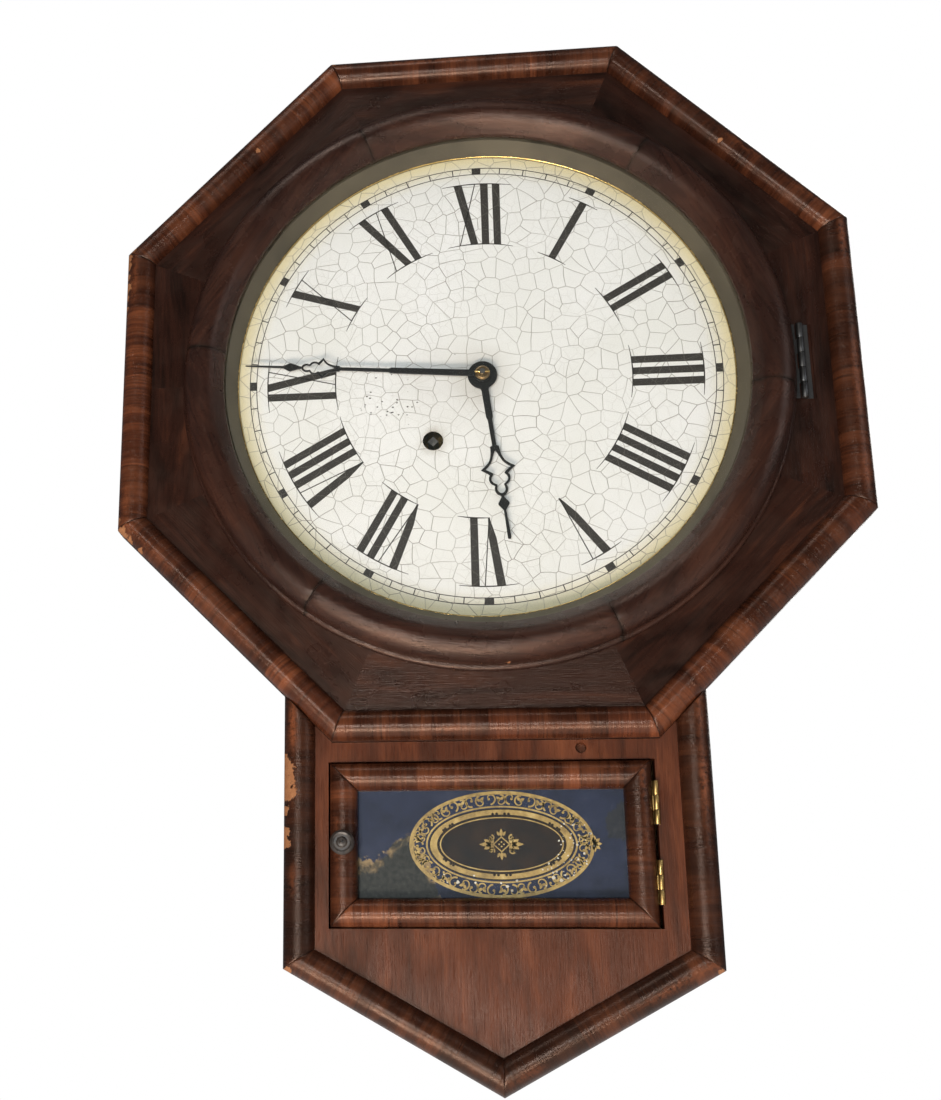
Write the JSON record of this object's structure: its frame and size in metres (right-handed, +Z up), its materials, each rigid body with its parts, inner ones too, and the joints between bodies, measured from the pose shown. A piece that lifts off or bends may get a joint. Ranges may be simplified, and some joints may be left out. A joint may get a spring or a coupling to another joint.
{
  "type": "pendulum wall clock",
  "caption": "Drop-octagon pendulum wall clock with a hinged round glazed bezel, Roman dial, spring-driven lever movement and a hinged painted-glass door over the pendulum.",
  "frame": {"origin": "centre of the hanger plate's bore, on the plane of the wall", "axes": "+Z up, -Y out of the wall towards the viewer, +X to the viewer's right"},
  "size_m": [0.434, 0.1173, 0.6213],
  "materials": {
    "case_wood": "aged dark rosewood-stained finish, worn",
    "back_wood": "rough sawn, aged",
    "veneer": "dark rosewood veneer under old shellac",
    "moulding": "rosewood cross-grained veneer, polished and worn",
    "bezel_wood": "dark rosewood veneer, polished",
    "inner_wood": "bare softwood",
    "hanger_steel": "dull sheet iron",
    "screw_steel": "dull screws",
    "dial_paint": "crackled off-white paint with black chapters",
    "brass": "tarnished brass",
    "old_brass": "dull brown brass",
    "steel": "grey steel",
    "spring_steel": "blued spring steel",
    "hand_black": "blackened steel",
    "glass": "clear old glass",
    "tablet": "reverse-painted blue and gold",
    "bob_brass": "polished brass shell"
  },
  "bodies": {
    "case": {"back_board": "back_wood", "case_side_left": "case_wood", "case_side_right": "case_wood", "case_top": "case_wood", "case_bottom_boards": "case_wood", "octagon_panel": "veneer", "octagon_mouldings": "moulding", "drop_panel": "veneer", "drop_mouldings": "moulding", "corner_blocks": "inner_wood", "hanger_plate": "hanger_steel", "case_screws": "screw_steel", "dial_plate": "dial_paint", "movement_blocks": "inner_wood", "back_plate": "brass", "front_plate": "brass", "pillars": "steel", "pillar_nuts": "steel", "mainspring": "spring_steel", "suspension_cock": "brass", "bezel_hinge_case_leaf": "old_brass", "hinge_pins": "steel", "door_hinge_case_leaves": "brass"},
    "bezel_door": {"bezel_segments": "bezel_wood", "bezel_glass": "glass", "sight_ring": "old_brass", "bezel_hinge_leaf": "old_brass", "bezel_catch": "brass"},
    "lower_door": {"door_rails": "moulding", "tablet_glass": "tablet", "tablet_strips": "inner_wood", "door_hinge_leaves": "brass"},
    "turn_latch": {"door_knob": "bezel_wood", "door_latch": "brass"},
    "winding": {"winding_arbor": "steel", "ratchet_wheel": "steel"},
    "great": {"great_wheel": "brass", "click_spring": "steel"},
    "ratchet_click": {"click": "steel"},
    "second": {"second_wheel": "brass", "second_arbor": "steel"},
    "centre": {"centre_wheel": "brass", "centre_arbor": "steel", "cannon_pinion": "brass", "minute_hand": "hand_black", "hand_washer": "brass", "taper_pin": "brass"},
    "third": {"third_wheel": "brass", "third_arbor": "steel"},
    "escape": {"escape_wheel": "brass", "escape_arbor": "steel"},
    "anchor": {"verge": "steel", "crutch": "brass"},
    "minute_work": {"minute_wheel": "brass"},
    "hour_work": {"hour_wheel": "brass", "hour_hand": "hand_black"},
    "pendulum": {"suspension_spring": "spring_steel", "pendulum_rod": "steel", "pendulum_bob": "bob_brass"},
    "rating": {"rating_nut": "brass"}
  },
  "joints": [
    {"name": "bezel_hinge", "type": "hinge", "parent": "case", "child": "bezel_door", "pos_m": [0.183, -0.0981, -0.126], "axis": [0, 0, 1], "range_deg": [0, 100]},
    {"name": "door_hinge", "type": "hinge", "parent": "case", "child": "lower_door", "pos_m": [0.0862, -0.09365, -0.39935], "axis": [0, 0, 1], "range_deg": [0, 110]},
    {"name": "latch_turn", "type": "hinge", "parent": "lower_door", "child": "turn_latch", "pos_m": [-0.08365, -0.092, -0.39935], "axis": [0, 1, 0], "range_deg": [0, 90]},
    {"name": "minute_hand_turn", "type": "hinge", "parent": "case", "child": "centre", "pos_m": [0, -0.096, -0.126], "axis": [0, 1, 0], "continuous": true},
    {"name": "great_wheel_turn", "type": "hinge", "parent": "case", "child": "great", "pos_m": [-0.03, -0.063, -0.165], "axis": [0, 1, 0], "continuous": true},
    {"name": "winding_turn", "type": "hinge", "parent": "great", "child": "winding", "pos_m": [-0.03, -0.08, -0.165], "axis": [0, 1, 0], "continuous": true},
    {"name": "click_lift", "type": "hinge", "parent": "great", "child": "ratchet_click", "pos_m": [-0.01796, -0.061, -0.15416], "axis": [0, 1, 0], "range_deg": [0, 12], "stiffness_Nm_per_rad": 0.02},
    {"name": "second_wheel_turn", "type": "hinge", "parent": "case", "child": "second", "pos_m": [0.00689, -0.058, -0.15674], "axis": [0, 1, 0], "continuous": true},
    {"name": "third_wheel_turn", "type": "hinge", "parent": "case", "child": "third", "pos_m": [0.0146, -0.047, -0.0991], "axis": [0, 1, 0], "continuous": true},
    {"name": "escape_wheel_turn", "type": "hinge", "parent": "case", "child": "escape", "pos_m": [0, -0.057, -0.0871], "axis": [0, 1, 0], "continuous": true},
    {"name": "minute_wheel_turn", "type": "hinge", "parent": "case", "child": "minute_work", "pos_m": [0.01273, -0.076, -0.13873], "axis": [0, 1, 0], "continuous": true},
    {"name": "hour_hand_turn", "type": "hinge", "parent": "case", "child": "hour_work", "pos_m": [0, -0.085, -0.126], "axis": [0, 1, 0], "continuous": true},
    {"name": "pendulum_swing", "type": "hinge", "parent": "case", "child": "pendulum", "pos_m": [0, -0.024, -0.0665], "axis": [0, 1, 0], "range_deg": [-3, 3]},
    {"name": "anchor_rock", "type": "hinge", "parent": "case", "child": "anchor", "pos_m": [0, -0.05, -0.0665], "axis": [0, 1, 0], "range_deg": [-3, 3]},
    {"name": "rating_turn", "type": "hinge", "parent": "pendulum", "child": "rating", "pos_m": [0, -0.024, -0.4139], "axis": [0, 0, 1], "continuous": true}
  ],
  "couplings": [
    {"joint": "great_wheel_turn", "follows": "minute_hand_turn", "ratio": 0.041667},
    {"joint": "second_wheel_turn", "follows": "minute_hand_turn", "ratio": -0.25},
    {"joint": "third_wheel_turn", "follows": "minute_hand_turn", "ratio": -11},
    {"joint": "escape_wheel_turn", "follows": "minute_hand_turn", "ratio": 88},
    {"joint": "minute_wheel_turn", "follows": "minute_hand_turn", "ratio": -0.33333},
    {"joint": "hour_hand_turn", "follows": "minute_hand_turn", "ratio": 0.083333},
    {"joint": "anchor_rock", "follows": "pendulum_swing", "ratio": 1}
  ]
}
